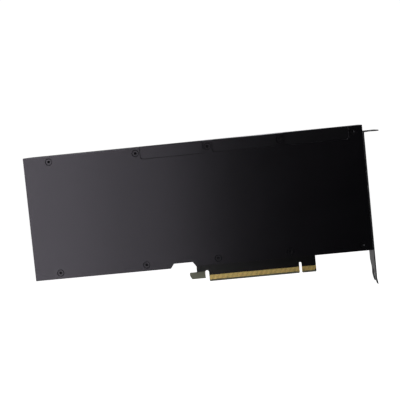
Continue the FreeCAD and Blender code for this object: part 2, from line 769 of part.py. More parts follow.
def bracket_screw(y, z):
    """Countersunk screw, flush with the bracket's outer face."""
    neck = bracket_outer_x - bracket_screw_sink
    cone = Part.makeCone(screw_shank_radius, bracket_screw_head, bracket_screw_sink, V(neck, y, z),
                         V(1, 0, 0))
    shank = pin_x(y, z, screw_shank_radius, bracket_outer_x - bracket_screw_length, neck)
    socket = bar_x(hexagon(y, z, screw_socket), neck, bracket_outer_x + overshoot)
    return cone.fuse(shank).cut(socket)


# --- I/O bracket -----------------------------------------------------------------------------------------
def bracket_profile():
    """The folded sheet seen along Y: plate, bend and flange, with the tips leaning out."""
    inner = x_bracket_inner
    outer = bracket_outer_x
    end = bracket_outer_x + flange_length
    lean_start = tongue_bottom + lean_height
    flange_bottom = flange_top - bracket_sheet
    return [(inner + lean_out, tongue_bottom), (outer + lean_out, tongue_bottom), (outer, lean_start),
            (outer, flange_bottom, flange_bend), (end, flange_bottom), (end, flange_top),
            (inner, flange_top, flange_bend + bracket_sheet), (inner, lean_start)]


def bracket_outline():
    """The bracket seen along X: straight rear edge, and two tongues with tapered front sides."""
    rear = bracket_rear
    second = bracket_rear + slot_pitch
    shoulder = tongue_shoulder
    return [(rear, flange_top + overshoot), (rear, tongue_bottom, tongue_rear_round),
            (rear + tongue_width, tongue_bottom, tongue_front_round),
            (rear + tongue_width, shoulder - tongue_taper), (rear + tongue_width + tongue_taper, shoulder),
            (second, shoulder), (second, tongue_bottom, tongue_rear_round),
            (second + tongue_width, tongue_bottom, tongue_front_round), (second + tongue_width, shoulder),
            (bracket_front, shoulder + tongue_taper_height), (bracket_front, flange_top + overshoot)]


def flange_plan():
    """The bracket seen from above: the flange's outer corners are rounded, and two notches take the
    chassis screws, one open at the flange's rear edge and one at its outer end."""
    end = bracket_outer_x + flange_length
    return [(x_bracket_inner - overshoot, bracket_rear), (end, bracket_rear, flange_corner),
            (end, bracket_front, flange_corner), (x_bracket_inner - overshoot, bracket_front)]


def screw_notches():
    x = bracket_outer_x + screw_notch_x
    low = flange_top - bracket_sheet - overshoot
    high = flange_top + overshoot
    first = bracket_rear + screw_notch_depth
    second = first + slot_pitch
    far = bracket_outer_x + flange_length + overshoot
    bore = [Part.makeCylinder(screw_notch_radius, high - low, V(x, y, low)) for y in (first, second)]
    return bore + [
        box(x - screw_notch_radius, x + screw_notch_radius, bracket_rear - overshoot, first, low, high),
        box(x, far, second - screw_notch_radius, second + screw_notch_radius, low, high)]


def bracket_vents():
    """Staggered rows of hexagonal vents."""
    middle = (bracket_rear + bracket_front) / 2
    vents = []
    for row in range(vent_rows):
        count = vent_columns - row % 2
        for column in range(count):
            y = middle + (column - (count - 1) / 2) * vent_pitch
            z = vent_bottom + row * vent_row_pitch
            vents.append(bar_x(hexagon(y, z, vent_across_flats), x_bracket_inner - overshoot,
                               bracket_outer_x + overshoot))
    return vents


def io_bracket():
    """Two-slot bracket folded from one sheet: vented plate, flange and two tongues."""
    sheet = bar_y(bracket_profile(), bracket_rear, bracket_front)
    outline = bar_x(bracket_outline(), x_bracket_inner - overshoot, bracket_outer_x + 2 * flange_length)
    plan = bar_z(flange_plan(), tongue_bottom - overshoot, flange_top + overshoot)
    cuts = bracket_vents() + screw_notches()
    for y, z in bracket_screws:
        cuts.append(pin_x(y, z, screw_shank_radius + bracket_hole_clearance, x_bracket_inner - overshoot,
                          bracket_outer_x - bracket_screw_sink / 2))
        cuts.append(Part.makeCone(screw_shank_radius + sink_cone_clearance,
                                  bracket_screw_head + sink_cone_clearance, bracket_screw_sink,
                                  V(bracket_outer_x - bracket_screw_sink, y, z), V(1, 0, 0)))
    return sheet.common(outline).common(plan).cut(cuts).removeSplitter()


# --- electronics -----------------------------------------------------------------------------------------
def package_block(half, y0, y1):
    """A square block centred on the processor package."""
    return box(package_x - half, package_x + half, y0, y1, package_z - half, package_z + half)


def stiffener_ring():
    half = package_size / 2 - stiffener_margin
    return package_block(half, y_die, y_die + stiffener_thickness).cut(
        package_block(half - stiffener_width, y_die - overshoot, y_die + overshoot))


def processor_die():
    return box(package_x - die_width / 2, package_x + die_width / 2, y_die, y_die_top,
               package_z - die_height / 2, package_z + die_height / 2)


def memory_stacks():
    """Two columns of memory, one on each side of the die."""
    stacks = []
    for side in (-1, 1):
        x = package_x + side * (die_width / 2 + memory_gap + memory_width / 2)
        for k in range(memory_rows):
            z = package_z + (k - (memory_rows - 1) / 2) * (memory_height + memory_gap)
            stacks.append(box(x - memory_width / 2, x + memory_width / 2, y_die, y_die_top,
                              z - memory_height / 2, z + memory_height / 2))
    return stacks


def power_chokes():
    half = choke_size / 2
    plan = [(-half + choke_chamfer, -half), (half - choke_chamfer, -half), (half, -half + choke_chamfer),
            (half, half - choke_chamfer), (half - choke_chamfer, half), (-half + choke_chamfer, half),
            (-half, half - choke_chamfer), (-half, -half + choke_chamfer)]
    return [bar_y([(x + u, z + v) for u, v in plan], y_board_front, y_board_front + choke_height)
            for _, x, z in chokes]


def blocks_beside_chokes(offset, width, length, height, sides):
    """Rectangular bodies on the board, one beside each choke, further from the package."""
    return [box(x + side * offset - width / 2, x + side * offset + width / 2, y_board_front,
                y_board_front + height, z - length / 2, z + length / 2)
            for side, x, z in chokes if side in sides]


def choke_pads():
    """Soft gap pads between each column of chokes and the heat sink base."""
    half_z = (choke_count - 1) / 2 * choke_pitch + choke_size / 2
    half_x = choke_size / 2
    columns = [package_x + side * choke_to_package for side in (-1, 1)]
    return [box(x - half_x, x + half_x, y_board_front + choke_height, y_base, package_z - half_z,
                package_z + half_z) for x in columns]


def small_chips():
    """Flash memory, clock generator and management controller, along the board's inlet end."""
    x = x_sink_left + chip_inset
    chips = []
    for rise, w, h, t in chip_sizes:
        z = package_z + rise
        chips.append(box(x - w / 2, x + w / 2, y_board_front, y_board_front + t, z - h / 2, z + h / 2))
    return chips


def power_header():
    """Eight-way right-angle power inlet: one moulding with eight cavities and a latch ramp."""
    x1 = x_header + header_depth
    top = y_header_top
    start = x_header + header_latch_start
    crest = start + header_latch_slope
    end = crest + header_latch_land
    ramp = bar_z([(start, top - root), (start, top + root), (crest, top + header_latch_height),
                  (end, top + header_latch_height), (end, top - root)],
                 header_center_z - header_latch_width / 2, header_center_z + header_latch_width / 2)
    housing = box(x_header, x1, y_board_front, top, header_z0, header_z1).fuse(ramp)
    half = header_cavity / 2
    pin = header_pin / 2
    cuts = []
    for k, (y, z) in enumerate(header_cavities):
        square = [(y - half, z - half), (y + half, z - half), (y + half, z + half), (y - half, z + half)]
        cut = half - header_cavity_chamfer
        keyed = [square[0], (y + cut, z - half), (y + half, z - cut), (y + half, z + cut),
                 (y + cut, z + half), square[3]]
        cuts.append(bar_x(keyed if k % 3 else square, x_header - overshoot, x_header + header_cavity_depth))
        cuts.append(box(x_header, x1 + overshoot, y - pin, y + pin, z - pin, z + pin))
    return housing.cut(cuts)


def header_pins():
    """Square pins, bent down to the board behind the housing."""
    half = header_pin / 2
    pins = []
    for y, z in header_cavities:
        row = 1 if y > y_board_front + header_height / 2 else 0
        foot = x_header + header_depth + header_foot_gap + row * header_foot_pitch
        tip = x_header + header_pin_setback
        pins.append(bar_z([(tip, y - half), (foot - half, y - half), (foot - half, y_board_front),
                           (foot + half, y_board_front), (foot + half, y + half), (tip, y + half)],
                          z - half, z + half))
    return pins


def main():
    os.makedirs("parts", exist_ok=True)
    save("circuit_board", circuit_board())
    save("edge_contacts_rear", *edge_contacts(True))
    save("edge_contacts_front", *edge_contacts(False))
    save("bridge_contacts", *bridge_pads())
    save("backplate", backplate())
    save("insulating_film", insulating_film())
    for name, (a, b) in zip(("inlet_side", "middle", "bracket_side"), cap_spans):
        save(f"bridge_cap_{name}", bridge_cap(a, b))
    save("ribbed_cover", ribbed_cover())
    save("inlet_cover", inlet_cover())
    save("inlet_frame", inlet_frame())
    save("heat_sink_base", heat_sink_base())
    save("fin_stack", fin_stack())
    save("retention_plate", retention_plate())
    save("backplate_screws", *[backplate_screw(x, z) for x, z in screw_seats])
    save("heat_sink_screws", *[heat_sink_screw(x, z) for x, z in sink_posts])
    save("bracket_screws", *[bracket_screw(y, z) for y, z in bracket_screws])
    save("io_bracket", io_bracket())
    half = package_size / 2
    save("processor_substrate", package_block(half, y_package, y_die))
    save("solder_joints", package_block(half - solder_margin, y_board_front, y_package))
    save("package_stiffener", stiffener_ring())
    save("processor_die", processor_die())
    save("memory_stacks", *memory_stacks())
    save("power_chokes", *power_chokes())
    save("power_stages", *blocks_beside_chokes(stage_offset, stage_width, stage_length, stage_thickness,
                                               (-1, 1)))
    save("bulk_capacitors", *blocks_beside_chokes(capacitor_offset, capacitor_width, capacitor_length,
                                                  capacitor_height, (-1,)))
    save("choke_pads", *choke_pads())
    save("small_chips", *small_chips())
    save("power_header", power_header())
    save("power_header_pins", *header_pins())


main()
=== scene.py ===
"""Finishes, board detail and studio for the passive accelerator card, laid out as a Blender add-on."""
import math

import bmesh
import bpy
import numpy as np
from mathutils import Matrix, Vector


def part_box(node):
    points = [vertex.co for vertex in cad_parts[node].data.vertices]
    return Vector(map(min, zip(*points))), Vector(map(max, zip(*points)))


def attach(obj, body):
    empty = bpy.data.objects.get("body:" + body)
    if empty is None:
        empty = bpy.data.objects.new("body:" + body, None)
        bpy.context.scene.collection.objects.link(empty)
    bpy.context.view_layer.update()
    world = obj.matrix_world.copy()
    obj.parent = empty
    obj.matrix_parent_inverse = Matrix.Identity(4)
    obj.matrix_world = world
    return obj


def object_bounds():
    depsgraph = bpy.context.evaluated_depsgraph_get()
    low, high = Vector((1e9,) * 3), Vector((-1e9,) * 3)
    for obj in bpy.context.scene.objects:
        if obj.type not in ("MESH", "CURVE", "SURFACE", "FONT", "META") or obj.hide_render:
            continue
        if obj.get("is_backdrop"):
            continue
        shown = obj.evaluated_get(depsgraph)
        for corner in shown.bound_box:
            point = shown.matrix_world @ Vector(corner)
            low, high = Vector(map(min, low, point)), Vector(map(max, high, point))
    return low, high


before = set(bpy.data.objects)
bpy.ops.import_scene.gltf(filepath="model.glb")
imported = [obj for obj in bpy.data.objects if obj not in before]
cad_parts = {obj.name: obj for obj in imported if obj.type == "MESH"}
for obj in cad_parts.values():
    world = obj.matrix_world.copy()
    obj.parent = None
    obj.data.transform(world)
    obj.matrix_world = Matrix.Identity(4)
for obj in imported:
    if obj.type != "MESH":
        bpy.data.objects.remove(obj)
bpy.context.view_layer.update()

bl_info = {
    "name": "Passive accelerator card",
    "version": (1, 0, 0),
    "blender": (4, 5, 0),
    "location": "View3D > Sidebar > Card",
    "description": "Finishes the packed accelerator card and sets up its studio",
    "category": "Object",
}

ROOT = "root"
MM = 0.001
SCREW_HEAD = 2.3 * MM            # radius of the backplate screws' heads
SCREW_HEAD_HEIGHT = 0.85 * MM
SCREW_SEAM_INSET = 3.5 * MM      # ribbed cover's first screws to its inlet end
SOCKET_RADIUS = 0.98 * MM        # round that fits in the screws' sockets
SOCKET_DEPTH = 0.6 * MM
SOCKET_SLOPE = math.radians(22.0)    # of the drilled bottom, from flat
BOARD_FACE = 0.772 * MM          # from the board's middle to just under its faces
MASK_SKIN = 0.008 * MM
HOOK_END = -74.2 * MM            # bare laminate of the hook: inlet side of this X ...
HOOK_TOP = 8.0 * MM              # ... and below this height
CONTACT_WIDTH = 0.7 * MM
CONTACT_PITCH = 1.0 * MM
CONTACT_GROUP = 4                # ground, two of a signal pair, ground
TRACE_WIDTH = 0.22 * MM
GROUND_TRACE_WIDTH = TRACE_WIDTH * 1.6
TRACE_RISE = 0.035 * MM          # copper under the solder mask
TRACE_TUCK = 0.4 * MM            # runs end this far up behind the housing's edge
NECK_LENGTHS = (2.2 * MM, 1.3 * MM)    # of the ground traces, in turn
VIA_RADIUS = 0.28 * MM
MASK_REFLECTION = 0.36
CAPACITOR = np.array((0.5, 0.5, 1.0)) * MM
CAPACITOR_DROP = 2.6 * MM        # middles below the housing's lower edge
CAPACITOR_RINGS = 10
CAPACITOR_CAP_RINGS = 3          # rings of faces under each tinned end
PAIRS_WITHOUT_CAPACITORS = 2     # at the bracket end

# Strip lights to the left: degrees from the front, width, brightness.
KEY_STRIPS = (("key_near", 12.0, 0.07, 2.2), ("key_middle", 21.0, 0.14, 2.5), ("key_far", 28.0, 0.07, 4.9))
KEY_DISTANCE = 1.0
KEY_HEIGHT = 0.02
KEY_LENGTH = 1.1
# The other lights, each with a brightness of the same name in StudioSetup: place, width, height.
SOFTBOXES = (
    ("side", (-1.3, -0.2, 0.3), 0.8, 0.8),
    ("high", (-0.2, -0.32, 1.05), 0.6, 0.4),
    ("top", (-0.3, 0.3, 1.3), 1.0, 0.8),
    ("back", (0.5, 1.0, 1.3), 1.2, 1.0),
    ("rear", (0.48, 0.9, 0.15), 0.45, 0.8),
    ("front_right", (1.15, -0.37, 0.2), 0.5, 0.8),
    ("right", (1.2, 0.45, 0.4), 0.8, 0.8),
)
FLOOR_HALF = 6.0
BACKDROP_RADIUS = 5.0
CAMERA_SIDE = -21.214 * MM
CAMERA_HEIGHT = 117.727 * MM
CAMERA_TURN = (86.4205, 5.7458, 3.1752)    # degrees
CAMERA_LENS = 97.287                       # focal length for the sensor below
CAMERA_SENSOR = 36.0
WHITE = (1.0, 1.0, 1.0, 1.0)


# --- shader maths ----------------------------------------------------------------------------------------
class Value:
    """A number that varies over a surface: arithmetic on it adds Math nodes."""

    def __init__(self, nodes, socket):
        self.nodes = nodes
        self.socket = socket

    def math(self, operation, *values):
        return self.nodes.node("ShaderNodeMath", {"operation": operation}, dict(enumerate(values)))

    def __add__(self, other):
        return self.math("ADD", self, other)

    __radd__ = __add__

    def __sub__(self, other):
        return self.math("SUBTRACT", self, other)

    def __rsub__(self, other):
        return self.math("SUBTRACT", other, self)

    def __mul__(self, other):
        return self.math("MULTIPLY", self, other)

    __rmul__ = __mul__

    def __abs__(self):
        return self.math("ABSOLUTE", self)

    def step(self, low, high):
        """0 below low, 1 above high, and smooth in between."""
        return self.nodes.node("ShaderNodeMapRange", {"interpolation_type": "SMOOTHSTEP"},
                               {0: self, 1: low, 2: high, 3: 0.0, 4: 1.0})


class Nodes:
    """Adds nodes to one tree and gives back their outputs as values."""

    def __init__(self, tree, coordinates):
        self.tree = tree
        self.place = self.node("ShaderNodeTexCoord", out=coordinates)

    def node(self, kind, settings=None, sockets=None, out=0):
        """A node of that type: its settings first, then the values or links of its sockets."""
        made = self.tree.nodes.new(kind)
        for name, value in (settings or {}).items():
            setattr(made, name, value)
        for key, value in (sockets or {}).items():
            self.feed(made.inputs[key], value)
        return Value(self, made.outputs[out])

    def feed(self, socket, value):
        if isinstance(value, Value):
            self.tree.links.new(value.socket, socket)
        else:
            socket.default_value = value

    def axis(self, name):
        """One coordinate of the place."""
        return self.node("ShaderNodeSeparateXYZ", {}, {0: self.place}, out=name)

    def stretch(self, x, y, z):
        """The place, scaled along each axis."""
        return self.node("ShaderNodeMapping", {}, {"Vector": self.place, "Scale": (x, y, z)})

    def noise(self, scale, detail=3.0, roughness=0.55, place=None):
        return self.node("ShaderNodeTexNoise", {},
                         {"Vector": place or self.place, "Scale": scale, "Detail": detail,
                          "Roughness": roughness})

    def waves(self, kind, direction, scale, distortion=0.0, detail=1.0):
        """Parallel bands or rings, from 0 to 1."""
        side = {"BANDS": "bands_direction", "RINGS": "rings_direction"}[kind]
        return self.node("ShaderNodeTexWave", {"wave_type": kind, side: direction},
                         {"Vector": self.place, "Scale": scale, "Distortion": distortion, "Detail": detail},
                         out="Fac")

    def cells(self, scale):
        """Distance to the nearest of many scattered points."""
        return self.node("ShaderNodeTexVoronoi", {}, {"Vector": self.place, "Scale": scale})

    def mix(self, mask, low, high):
        """Colour low where the mask is 0 and high where it is 1."""
        return self.node("ShaderNodeMix", {"data_type": "RGBA"}, {0: mask, 6: low, 7: high}, out=2)


class Paint(Nodes):
    """One material: a Principled shader, fed by nodes that read Object coordinates, in metres."""

    def __init__(self, name, metallic=0.0, sheen=(1.0, 1.0, 1.0)):
        self.material = bpy.data.materials.new(name)
        self.material.use_nodes = True
        super().__init__(self.material.node_tree, "Object")
        self.shader = self.tree.nodes["Principled BSDF"]
        self.uniform("Metallic", metallic)
        self.uniform("Specular Tint", (*sheen, 1.0))

    def uniform(self, socket, value):
        self.shader.inputs[socket].default_value = value

    def colour(self, value):
        self.feed(self.shader.inputs["Base Color"], value)

    def rough(self, value):
        self.feed(self.shader.inputs["Roughness"], value)

    def bump(self, height, distance):
        raised = self.node("ShaderNodeBump", {}, {"Height": height, "Distance": distance})
        self.feed(self.shader.inputs["Normal"], raised)


def rgb(colour, factor=1.0):
    return (*[c * factor for c in colour[:3]], 1.0)


# --- sizes and colours a user would change ---------------------------------------------------------------
def colour_property(name, description, default):
    return bpy.props.FloatVectorProperty(name=name, description=description, default=default, size=3,
                                         min=0.0, max=1.0, subtype="COLOR")


def length_property(name, description, default_mm):
    return bpy.props.FloatProperty(name=name, description=description, default=default_mm * MM, min=0.0,
                                   unit="LENGTH", precision=5)


class CardFinish(bpy.types.PropertyGroup):
    backplate: colour_property("Backplate", "Satin coating of the backplate", (0.0024, 0.0024, 0.0030))
    cover: colour_property("Covers", "Satin coating of the covers", (0.006, 0.006, 0.0066))
    cap: colour_property("Bridge caps", "Moulded plastic of the bridge caps", (0.0042, 0.0042, 0.0048))
    sheen: colour_property("Sheen", "Tint of the light that the coating reflects", (0.93, 0.87, 1.0))
    mask: colour_property("Solder mask", "Solder mask of the circuit board", (0.0042, 0.0040, 0.0045))
    laminate: colour_property("Bare laminate", "Board without solder mask", (0.205, 0.208, 0.155))
    gold: colour_property("Gold", "Plating of the edge contacts", (1.0, 0.74, 0.27))
    bracket: colour_property("Bracket", "Plating of the bracket", (0.16, 0.16, 0.165))
    screw: colour_property("Screw", "Black oxide of the screws", (0.004, 0.004, 0.0045))
    fin: colour_property("Fins", "Rolled aluminium strip of the fins", (0.78, 0.79, 0.81))
    texture_depth: length_property("Texture depth", "Height of the coating's texture", 0.006)


def level_property(name, description, default):
    return bpy.props.FloatProperty(name=name, description=description, default=default, min=0.0,
                                   subtype="FACTOR", soft_max=10.0)


class StudioSetup(bpy.types.PropertyGroup):
    key: level_property("Key light", "Brightness of the strip lights to the left", 1.0)
    side: level_property("Side light", "Brightness of the light at the inlet end", 2.6)
    high: level_property("High light", "Brightness of the light above and in front", 10.0)
    top: level_property("Top light", "Brightness of the light above", 1.5)
    back: level_property("Back light", "Brightness of the light above and behind", 2.5)
    front_right: level_property("Low right light", "Brightness of the light in front, far right", 2.5)
    rear: level_property("Rear light", "Brightness of the light behind the ribbed cover", 2.5)
    right: level_property("Bracket light", "Brightness of the light beside the bracket", 2.0)
    ambient: level_property("Ambient", "Brightness of the dark room", 0.004)
    table_glow: level_property("Table glow", "Brightness of the table behind the card", 0.3)
    backdrop: level_property("Backdrop", "Brightness of floor and backdrop", 1.0)
    floor_drop: length_property("Floor drop", "Floor below the bracket's tips", 260.0)
    camera_distance: length_property("Camera distance", "Camera to the board's plane", 848.8)


def finish():
    return bpy.context.scene.card_finish


def dress(paint, *nodes):
    """Puts a material on CAD nodes."""
    for name in nodes:
        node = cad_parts[name]
        node.data.materials.clear()
        node.data.materials.append(paint.material)


# --- materials -------------------------------------------------------------------------------------------
def coated_metal(name, colour, depth, rough=0.23, seat=None):
    """Satin powder coating: fine grain, slow cloudiness and faint handling marks. Below the seat's height in
    Y, in the counterbores, the coat is matt and its colour is painted darker, as painted shade in the
    recesses."""
    paint = Paint(name, sheen=finish().sheen)
    fine = paint.noise(9000.0, 2.0)
    broad = paint.noise(28.0, 4.0)
    marks = paint.noise(160.0, 5.0, 0.7, paint.stretch(1.0, 1.0, 0.25))
    cloud = broad.step(0.35, 0.65)
    tone = cloud * 0.5 + fine * 0.5
    gloss = (broad - 0.5) * 0.03 + (marks.step(0.55, 0.75) * 0.03 + rough)
    if seat is not None:
        # painted shade: in the counterbores the colour goes to the darker end of the mix, where shade falls;
        # the roughness is raised there too
        recess_matt_and_shade = paint.axis("Y").step(seat - 0.3 * MM, seat - 0.1 * MM)
        gloss = recess_matt_and_shade * 0.6 + gloss
        tone = tone * (1.0 - recess_matt_and_shade)
    paint.colour(paint.mix(tone, rgb(colour, 0.8), rgb(colour, 1.2)))
    paint.rough(gloss)
    paint.bump(fine + marks * 0.3, depth)
    return paint


def moulded_plastic(name, colour, rough=0.5, depth=0.008 * MM, sheen=(1.0, 1.0, 1.0)):
    """Injection-moulded plastic with a fine spark-eroded grain."""
    paint = Paint(name, sheen=sheen)
    grain = paint.noise(5200.0, 3.0)
    cloud = paint.noise(60.0, 3.0)
    paint.colour(paint.mix(cloud, rgb(colour, 0.9), rgb(colour, 1.12)))
    paint.rough(grain * 0.12 + (rough - 0.06))
    paint.bump(grain, depth)
    return paint


def solder_mask_board(name):
    """Black solder mask over faintly woven glass; the cut edges, the bevel and the hook are bare laminate."""
    look = finish()
    paint = Paint(name)
    x = paint.axis("X")
    z = paint.axis("Z")
    depth = abs(paint.axis("Y"))
    on_face = depth.step(BOARD_FACE, BOARD_FACE + MASK_SKIN)
    at_hook = (1.0 - x.step(HOOK_END - 0.1 * MM, HOOK_END)) * (1.0 - z.step(HOOK_TOP, HOOK_TOP + 0.2 * MM))
    masked = on_face * (1.0 - at_hook)
    weave = paint.waves("BANDS", "X", 640.0, 0.5) * paint.waves("BANDS", "Z", 640.0, 0.5)
    layers = paint.waves("BANDS", "Y", 2600.0)
    cloud = paint.noise(90.0, 4.0)
    mask_colour = paint.mix(cloud, rgb(look.mask, 0.8), rgb(look.mask, 1.2))
    glass = paint.mix(weave * 0.5 + layers * 0.5, rgb(look.laminate, 0.8), rgb(look.laminate, 1.15))
    paint.colour(paint.mix(masked, glass, mask_colour))
    paint.rough(cloud * 0.04 + (0.6 - masked * 0.37))
    paint.uniform("Specular IOR Level", MASK_REFLECTION)
    paint.bump(weave, 0.006 * MM)
    return paint


def solder_mask_run(name):
    """Solder mask where it lies over copper: a shade lighter and smoother than over bare board."""
    look = finish()
    paint = Paint(name)
    cloud = paint.noise(300.0, 3.0)
    paint.colour(paint.mix(cloud, rgb(look.mask, 1.1), rgb(look.mask, 1.6)))
    paint.rough(cloud * 0.06 + 0.2)
    paint.uniform("Specular IOR Level", MASK_REFLECTION)
    paint.bump(cloud, 0.005 * MM)
    return paint


def gold_plating(name):
    """Hard gold over nickel: lightly brushed along the insertion direction, with wiping marks."""
    look = finish()
    paint = Paint(name, 1.0)
    brushed = paint.noise(900.0, 4.0, 0.6, paint.stretch(4.0, 1.0, 0.12))
    blotch = paint.noise(140.0, 3.0)
    paint.colour(paint.mix(brushed * 0.6 + blotch * 0.4, rgb(look.gold, 0.9), rgb(look.gold, 1.0)))
    paint.rough(brushed * 0.12 + 0.38)
    paint.bump(brushed, 0.004 * MM)
    return paint


def plated_steel(name, colour, rough=0.34, along=(0.06, 1.0, 1.0)):
    """Sheet steel with a dark plating over the rolling marks."""
    paint = Paint(name, 1.0)
    rolled = paint.noise(700.0, 5.0, 0.6, paint.stretch(*along))
    cloud = paint.noise(45.0, 3.0)
    paint.colour(paint.mix(cloud * 0.5 + rolled * 0.5, rgb(colour, 0.82), rgb(colour, 1.2)))
    paint.rough(rolled * 0.14 + (rough - 0.07))
    paint.bump(rolled, 0.006 * MM)
    return paint


def rolled_aluminium(name, colour, along=(0.05, 1.0, 1.0)):
    """Thin aluminium strip, with fine rolling lines along the card."""
    paint = Paint(name, 1.0)
    lines = paint.noise(1600.0, 4.0, 0.6, paint.stretch(*along))
    stain = paint.noise(70.0, 4.0)
    paint.colour(paint.mix(stain * 0.4 + lines * 0.6, rgb(colour, 0.8), rgb(colour, 1.05)))
    paint.rough(lines * 0.15 + 0.26)
    paint.bump(lines, 0.004 * MM)
    return paint


def pressed_ferrite(name):
    """Pressed metal powder of the chokes: grey grains with small pits."""
    paint = Paint(name)
    grains = paint.cells(6500.0)
    pits = paint.noise(2600.0, 4.0).step(0.58, 0.7)
    paint.colour(paint.mix(grains, (0.10, 0.10, 0.105, 1.0), (0.20, 0.20, 0.205, 1.0)))
    paint.rough(grains * 0.2 + 0.55)
    paint.bump(grains - pits, 0.02 * MM)
    return paint


def silicon_back(name):
    """Ground back of a die: fine arcs from the grinding wheel."""
    paint = Paint(name, 0.7)
    arcs = paint.waves("RINGS", "Y", 900.0, 0.6)
    paint.colour(paint.mix(arcs, (0.20, 0.21, 0.25, 1.0), (0.27, 0.28, 0.32, 1.0)))
    paint.rough(arcs * 0.06 + 0.14)
    paint.bump(arcs, 0.001 * MM)
    return paint


def soft_pad(name):
    """Silicone gap pad: matt, a little lumpy."""
    paint = Paint(name)
    lumps = paint.noise(900.0, 4.0)
    paint.colour(paint.mix(lumps, (0.28, 0.34, 0.42, 1.0), (0.38, 0.44, 0.52, 1.0)))
    paint.rough(lumps * 0.15 + 0.7)
    paint.bump(lumps, 0.05 * MM)
    return paint


# --- surfaces worked out with numpy ----------------------------------------------------------------------
def closed_tubes(name, points, kinds=None):
    """Closed skins from points [copy, ring, corner, xyz]. Each ring's corners are joined in a loop, each ring
    to the next, and a first or last ring drawn to one point closes that end."""
    copies, rings, corners = points.shape[:3]
    copy, ring, corner = np.meshgrid(np.arange(copies), np.arange(rings - 1), np.arange(corners),
                                     indexing="ij")
    following = (corner + 1) % corners
    first = (copy * rings + ring) * corners
    faces = np.stack([first + corner, first + following, first + corners + following,
                      first + corners + corner], -1).reshape(-1, 4)
    mesh = bpy.data.meshes.new(name)
    mesh.from_pydata(points.reshape(-1, 3), [], faces)
    if kinds is not None:
        mesh.polygons.foreach_set("material_index", np.broadcast_to(kinds, copy.shape).ravel())
    skin = bmesh.new()
    skin.from_mesh(mesh)
    bmesh.ops.remove_doubles(skin, verts=skin.verts, dist=1e-8)
    bmesh.ops.recalc_face_normals(skin, faces=skin.faces)
    skin.to_mesh(mesh)
    skin.free()
    piece = bpy.data.objects.new(name, mesh)
    bpy.context.scene.collection.objects.link(piece)
    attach(piece, ROOT)
    return piece


def turned_y(name, places, profile, corners=24):
    """Copies of a turned form on axes along Y. At angle t, profile point (radius, height) lies at
    place + (radius cos t, height, radius sin t); the profile starts and ends on the axis."""
    radius, height = np.array(profile).T
    angle = np.arange(corners) * 2 * np.pi / corners
    ring = np.stack([radius[:, None] * np.cos(angle), np.repeat(height[:, None], corners, 1),
                     radius[:, None] * np.sin(angle)], -1)
    return closed_tubes(name, np.array(places)[:, None, None] + ring)


def strips(name, centre, width, base, top):
    """Copies of a flat strip lying on a face. centre is [copy, step, xyz] along each strip's middle; the
    section at each step runs half the width to each side in X, from base to top in Y, and is a little
    narrower at its top. The first and last steps are drawn to a point to close the ends."""
    half = width / 2
    section = np.array([(-half, base), (half, base), (half * 0.8, top), (-half * 0.8, top)])
    offsets = np.stack([section[:, 0], section[:, 1], np.zeros(4)], -1)
    points = centre[:, :, None] + offsets
    ends = points.mean(2, keepdims=True).repeat(4, 2)
    return closed_tubes(name, np.concatenate([ends[:, :1], points, ends[:, -1:]], 1))


def soft_blocks(name, places, size, kinds, square=0.16, rings=10, corners=20):
    """Copies of a block with rounded edges, standing along Z: a superellipsoid. With rise v and turn u, the
    point is half the size times (cos v sin u, cos v cos u, sin v), each sine and cosine raised to a small
    power."""
    def power(value):
        return np.sign(value) * np.abs(value) ** square

    rise = np.linspace(-np.pi / 2, np.pi / 2, rings)[:, None]
    turn = np.arange(corners) * 2 * np.pi / corners
    ball = np.stack([power(np.cos(rise)) * power(np.sin(turn)), power(np.cos(rise)) * power(np.cos(turn)),
                     np.broadcast_to(power(np.sin(rise)), (rings, corners))], -1)
    return closed_tubes(name, np.array(places)[:, None, None] + ball * size / 2, kinds)


def grid_mesh(name, points):
    """A mesh from a grid of points, rows by columns by three: each square of the grid is one face."""
    rows, columns = points.shape[:2]
    corner = (np.arange(rows - 1)[:, None] * columns + np.arange(columns - 1)).ravel()
    faces = np.stack([corner, corner + 1, corner + columns + 1, corner + columns], 1)
    mesh = bpy.data.meshes.new(name)
    mesh.from_pydata(points.reshape(-1, 3), [], faces)
    return mesh


# --- places read from the model's parts ------------------------------------------------------------------
def screw_heads():
    """Middles of the backplate screws' heads, on their outer faces."""
    low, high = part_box("backplate_screws")
    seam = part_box("ribbed_cover")[0][0] + SCREW_SEAM_INSET
    last = high[0] - SCREW_HEAD
    columns = [low[0] + SCREW_HEAD, *np.linspace(seam, last, 4)]
    return [(x, low[1], z) for x in columns for z in (low[2] + SCREW_HEAD, high[2] - SCREW_HEAD)]


def contact_columns():
    """Middles in X of the card edge's contacts, on both tongues, and which of them carry signal pairs by
    their place in each group of four."""
    low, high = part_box("edge_contacts_front")
    first = low[0] + CONTACT_WIDTH / 2
    last = high[0] - CONTACT_WIDTH / 2
    count = round((last - first) / CONTACT_PITCH) + 1
    columns = np.linspace(first, last, count)
    columns = columns[np.abs(columns) > CONTACT_PITCH]
    place = np.arange(len(columns)) % CONTACT_GROUP
    return columns, place, (place == 1) | (place == 2)


# --- operators -------------------------------------------------------------------------------------------
class CARD_OT_housing(bpy.types.Operator):
    """Coats the backplate, the covers, the inlet frame and the bridge caps."""

    bl_idname = "card.housing"
    bl_label = "Finish the housing"

    def execute(self, context):
        look = finish()
        # the seat height marks the counterbores, where the coat is matt and its colour painted darker as
        # shade
        plate = coated_metal("backplate_coat", look.backplate, look.texture_depth,
                             seat=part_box("backplate_screws")[0][1] + SCREW_HEAD_HEIGHT)
        dress(plate, "backplate")
        dress(coated_metal("cover_coat", look.cover, look.texture_depth, rough=0.3), "ribbed_cover",
              "inlet_cover", "inlet_frame")
        dress(moulded_plastic("cap_plastic", look.cap, 0.24, 0.002 * MM, look.sheen),
              "bridge_cap_inlet_side", "bridge_cap_middle", "bridge_cap_bracket_side")
        dress(moulded_plastic("film", (0.015, 0.015, 0.016), 0.35), "insulating_film")
        return {"FINISHED"}


